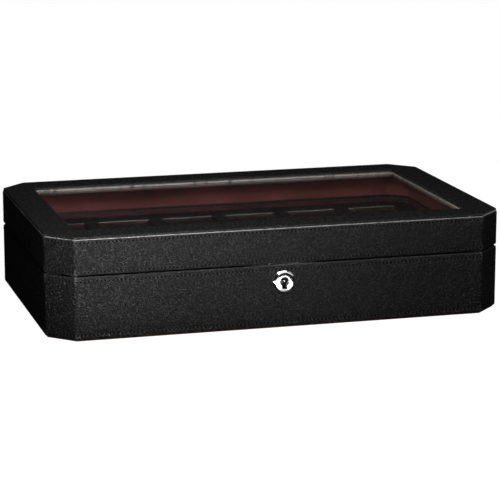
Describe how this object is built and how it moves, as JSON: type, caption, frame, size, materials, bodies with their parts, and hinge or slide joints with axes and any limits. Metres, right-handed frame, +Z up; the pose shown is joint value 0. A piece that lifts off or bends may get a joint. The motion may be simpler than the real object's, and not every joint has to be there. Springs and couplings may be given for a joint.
{
  "type": "watch box",
  "caption": "Low octagonal watch storage box with a hinged glass-topped lid, lock, pocketed tray and loose watch cushions.",
  "frame": {"origin": "middle of the flat underside, on the surface the box stands on", "axes": "+Z up, the front with the lock faces -Y, +X to the right seen from the front"},
  "size_m": [0.4, 0.2565, 0.088],
  "materials": {
    "black_leather": "pebbled, semi-matte",
    "wine_lining": "short-pile fabric",
    "wine_felt": "felt",
    "tray_cover": "smooth, satin",
    "cushion_cover": "smooth, soft",
    "wood_board": "bare fibreboard",
    "spacer_card": "matt black",
    "glass": "clear, polished",
    "chrome": "polished",
    "plated_steel": "nickel plated",
    "hinge_steel": "satin",
    "lock_brass": "satin"
  },
  "bodies": {
    "base": {"base_front_board": "wood_board", "base_back_board": "wood_board", "base_left_board": "wood_board", "base_right_board": "wood_board", "base_corner_boards": "wood_board", "base_leather_wrap": "black_leather", "bottom_board": "wood_board", "bottom_felt": "wine_felt", "inner_wall": "wine_lining", "inner_wall_binding": "black_leather", "tray_top": "tray_cover", "tray_front_rail": "wine_lining", "tray_middle_rail": "wine_lining", "tray_back_rail": "wine_lining", "tray_left_rail": "wine_lining", "tray_right_rail": "wine_lining", "tray_dividers": "wine_lining", "pocket_floor": "wine_lining", "lock_escutcheon": "chrome", "lock_case": "plated_steel", "lock_back_plate": "plated_steel", "lock_face_plate": "plated_steel", "lock_post": "hinge_steel", "lock_spring": "hinge_steel", "lock_screws": "hinge_steel", "hinge_base_leaf_left": "hinge_steel", "hinge_base_leaf_right": "hinge_steel", "hinge_pin_left": "hinge_steel", "hinge_pin_right": "hinge_steel", "hinge_base_screws": "hinge_steel"},
    "lid": {"lid_front_board": "wood_board", "lid_back_board": "wood_board", "lid_left_board": "wood_board", "lid_right_board": "wood_board", "lid_corner_boards": "wood_board", "lid_leather_wrap": "black_leather", "lid_lining": "wine_lining", "top_frame_board": "wood_board", "top_frame_leather": "black_leather", "glass_pane": "glass", "glass_spacer": "spacer_card", "glass_retainer": "wine_lining", "link_plate": "plated_steel", "link_plate_screws": "hinge_steel", "hinge_lid_leaf_left": "hinge_steel", "hinge_lid_leaf_right": "hinge_steel", "hinge_lid_screws": "hinge_steel"},
    "bolt": {"lock_bolt": "lock_brass"},
    "cushion_front_1": {"cushion_front_1": "cushion_cover"},
    "cushion_front_2": {"cushion_front_2": "cushion_cover"},
    "cushion_front_3": {"cushion_front_3": "cushion_cover"},
    "cushion_front_4": {"cushion_front_4": "cushion_cover"},
    "cushion_front_5": {"cushion_front_5": "cushion_cover"},
    "cushion_front_6": {"cushion_front_6": "cushion_cover"},
    "cushion_back_1": {"cushion_back_1": "cushion_cover"},
    "cushion_back_2": {"cushion_back_2": "cushion_cover"},
    "cushion_back_3": {"cushion_back_3": "cushion_cover"},
    "cushion_back_4": {"cushion_back_4": "cushion_cover"},
    "cushion_back_5": {"cushion_back_5": "cushion_cover"},
    "cushion_back_6": {"cushion_back_6": "cushion_cover"}
  },
  "joints": [
    {"name": "lid_hinge", "type": "hinge", "parent": "base", "child": "lid", "pos_m": [0, 0.1273, 0.05505], "axis": [-1, 0, 0], "range_deg": [0, 95]},
    {"name": "bolt_slide", "type": "slide", "parent": "base", "child": "bolt", "axis": [1, 0, 0], "range_m": [0, 0.0045]},
    {"name": "cushion_front_1_lift", "type": "slide", "parent": "base", "child": "cushion_front_1", "axis": [0, 0, 1], "range_m": [0, 0.03]},
    {"name": "cushion_front_2_lift", "type": "slide", "parent": "base", "child": "cushion_front_2", "axis": [0, 0, 1], "range_m": [0, 0.03]},
    {"name": "cushion_front_3_lift", "type": "slide", "parent": "base", "child": "cushion_front_3", "axis": [0, 0, 1], "range_m": [0, 0.03]},
    {"name": "cushion_front_4_lift", "type": "slide", "parent": "base", "child": "cushion_front_4", "axis": [0, 0, 1], "range_m": [0, 0.03]},
    {"name": "cushion_front_5_lift", "type": "slide", "parent": "base", "child": "cushion_front_5", "axis": [0, 0, 1], "range_m": [0, 0.03]},
    {"name": "cushion_front_6_lift", "type": "slide", "parent": "base", "child": "cushion_front_6", "axis": [0, 0, 1], "range_m": [0, 0.03]},
    {"name": "cushion_back_1_lift", "type": "slide", "parent": "base", "child": "cushion_back_1", "axis": [0, 0, 1], "range_m": [0, 0.03]},
    {"name": "cushion_back_2_lift", "type": "slide", "parent": "base", "child": "cushion_back_2", "axis": [0, 0, 1], "range_m": [0, 0.03]},
    {"name": "cushion_back_3_lift", "type": "slide", "parent": "base", "child": "cushion_back_3", "axis": [0, 0, 1], "range_m": [0, 0.03]},
    {"name": "cushion_back_4_lift", "type": "slide", "parent": "base", "child": "cushion_back_4", "axis": [0, 0, 1], "range_m": [0, 0.03]},
    {"name": "cushion_back_5_lift", "type": "slide", "parent": "base", "child": "cushion_back_5", "axis": [0, 0, 1], "range_m": [0, 0.03]},
    {"name": "cushion_back_6_lift", "type": "slide", "parent": "base", "child": "cushion_back_6", "axis": [0, 0, 1], "range_m": [0, 0.03]}
  ]
}
